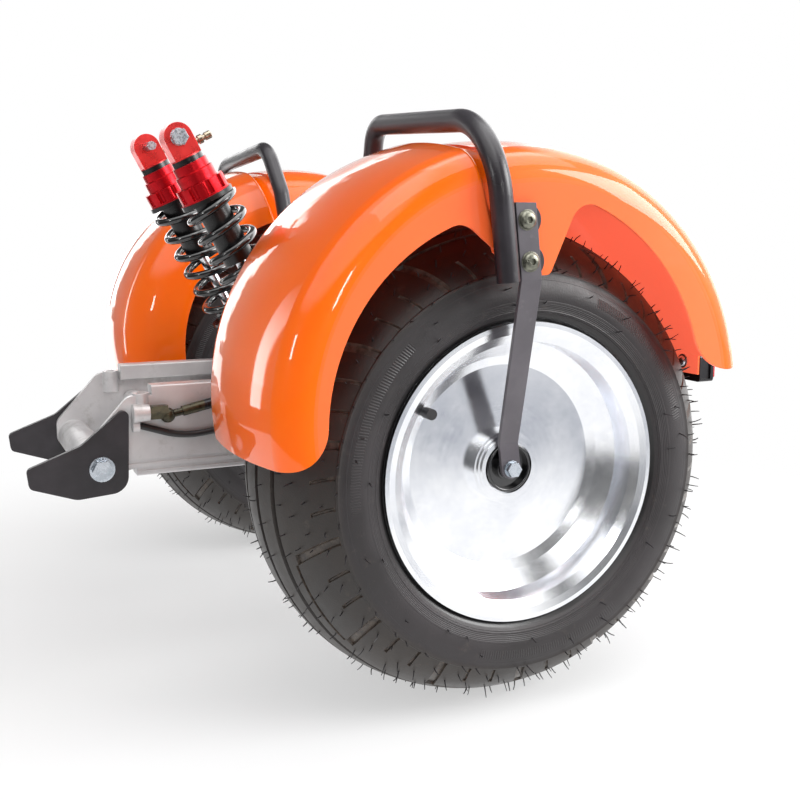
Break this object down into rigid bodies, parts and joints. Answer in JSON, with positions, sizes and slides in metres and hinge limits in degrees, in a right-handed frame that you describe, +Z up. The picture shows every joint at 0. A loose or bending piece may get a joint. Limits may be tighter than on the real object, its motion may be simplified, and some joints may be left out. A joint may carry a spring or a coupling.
{
  "type": "scooter rear axle unit",
  "caption": "Rear axle unit of an electric chopper trike: swing arm with axle and drive, wheels that spin, coil-over dampers, mudguards on hoops and stays.",
  "frame": {"origin": "middle of the swing-arm pivot axis, halfway between the two hangers that are welded under the frame", "axes": "+X forward, +Y to the left along the pivot axis, +Z up"},
  "size_m": [0.6683, 0.8796, 0.5705],
  "materials": {
    "black_cast": "black cast",
    "black_gloss": "gloss black coat",
    "black_paint": "satin powder coat",
    "black_plastic": "moulded plastic",
    "black_rubber": "matte rubber",
    "black_zinc": "black zinc plate",
    "bush_plastic": "moulded plastic",
    "motor_casting": "painted casting",
    "orange_gloss": "high gloss orange",
    "polished_alloy": "mirror polished",
    "red_anodised": "red anodised",
    "red_lens": "moulded lens",
    "silver_paint": "silver grey paint",
    "steel": "ground steel",
    "tyre_rubber": "matte moulded rubber",
    "zinc": "bright zinc plate"
  },
  "bodies": {
    "root": {"axle_beam": "black_paint", "axle_bolt_left": "zinc", "axle_bolt_right": "zinc", "bearing_cap_left": "black_paint", "bearing_cap_right": "black_paint", "brake_caliper_left": "black_cast", "brake_caliper_right": "black_cast", "brake_hose_left": "black_rubber", "brake_hose_right": "black_rubber", "damper_body_left": "red_anodised", "damper_body_right": "red_anodised", "damper_bolt_left": "zinc", "damper_bolt_right": "zinc", "damper_bracket_left": "silver_paint", "damper_bracket_right": "silver_paint", "damper_rod_left": "steel", "damper_rod_right": "steel", "damper_spring_left": "black_gloss", "damper_spring_right": "black_gloss", "drive_unit": "motor_casting", "hanger_left": "black_paint", "hanger_right": "black_paint", "hoop_left": "black_paint", "hoop_right": "black_paint", "link_rod_left": "black_zinc", "link_rod_right": "black_zinc", "mudguard_left": "orange_gloss", "mudguard_right": "orange_gloss", "pivot_bolt": "zinc", "pivot_bushes": "bush_plastic", "reflector_left": "black_plastic", "reflector_lens_left": "red_lens", "reflector_lens_right": "red_lens", "reflector_right": "black_plastic", "stay_left": "black_paint", "stay_right": "black_paint", "swing_arm": "silver_paint"},
    "left_wheel": {"brake_disc_left": "steel", "rim_left": "polished_alloy", "tyre_left": "tyre_rubber", "valve_left": "black_rubber"},
    "right_wheel": {"brake_disc_right": "steel", "rim_right": "polished_alloy", "tyre_right": "tyre_rubber", "valve_right": "black_rubber"}
  },
  "joints": [
    {"name": "left_wheel_spin", "type": "hinge", "parent": "root", "child": "left_wheel", "pos_m": [-0.338, 0.2885, 0.02], "axis": [0, 1, 0], "continuous": true},
    {"name": "right_wheel_spin", "type": "hinge", "parent": "root", "child": "right_wheel", "pos_m": [-0.338, -0.2885, 0.02], "axis": [0, 1, 0], "continuous": true}
  ]
}
